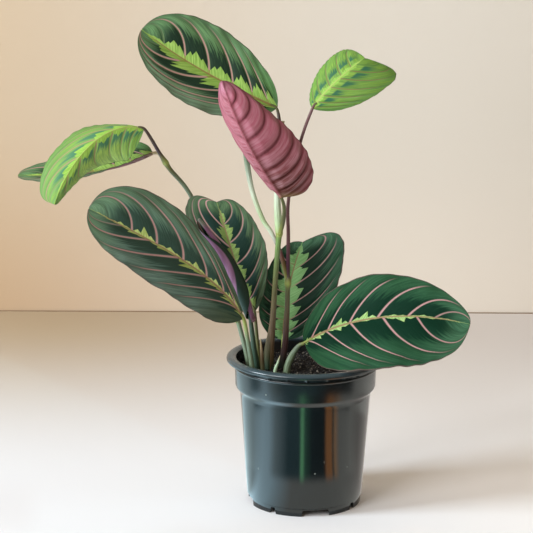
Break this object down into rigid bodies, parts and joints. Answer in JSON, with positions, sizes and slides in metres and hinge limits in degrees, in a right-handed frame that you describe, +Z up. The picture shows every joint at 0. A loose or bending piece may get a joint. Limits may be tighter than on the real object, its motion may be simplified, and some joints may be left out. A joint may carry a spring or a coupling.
{
  "type": "potted prayer plant",
  "caption": "Prayer plant with oval, pink-veined, patterned leaves on slender stems, rooted in soil in a slim tapered dark nursery pot with a notched foot.",
  "frame": {"origin": "middle of the underside of the pot's floor pad, on the surface that the pot stands on", "axes": "+Z up along the pot's axis, +X to the right and -Y towards the viewer in the reference picture"},
  "size_m": [0.2963, 0.1154, 0.3242],
  "materials": {
    "pot": "dark green-black moulded plastic, glossy",
    "soil": "dark, moist, crumbly potting mix",
    "mature_leaf": "dark green with a lime patch along the midrib and pink veins, satin, maroon underneath",
    "young_leaf": "bright light green with dark blotches and pink-brown veins, satin",
    "red_underside": "quilted dusky red underside, satin",
    "green_stem": "smooth olive to grey-green",
    "dark_stem": "smooth dark purple-brown",
    "dry_sheath": "pale papery sheath"
  },
  "bodies": {
    "root": {"pot": "pot", "soil": "soil", "shoot_left": "green_stem", "shoot_centre": "green_stem", "shoot_right": "dark_stem", "petiole_front_left": "green_stem", "petiole_back_left": "green_stem", "petiole_rolled": "green_stem", "petiole_back_centre": "green_stem", "petiole_front_right": "green_stem", "sheath_front": "dry_sheath", "sheath_tip": "dry_sheath", "leaf_top_left": "mature_leaf", "leaf_top_right": "young_leaf", "leaf_upright_red": "red_underside", "leaf_arching_young": "young_leaf", "leaf_folded_left": "mature_leaf", "leaf_front_left": "mature_leaf", "leaf_back_left": "mature_leaf", "leaf_back_centre": "mature_leaf", "leaf_front_right": "mature_leaf", "leaf_rolled_young": "mature_leaf"}
  },
  "joints": []
}
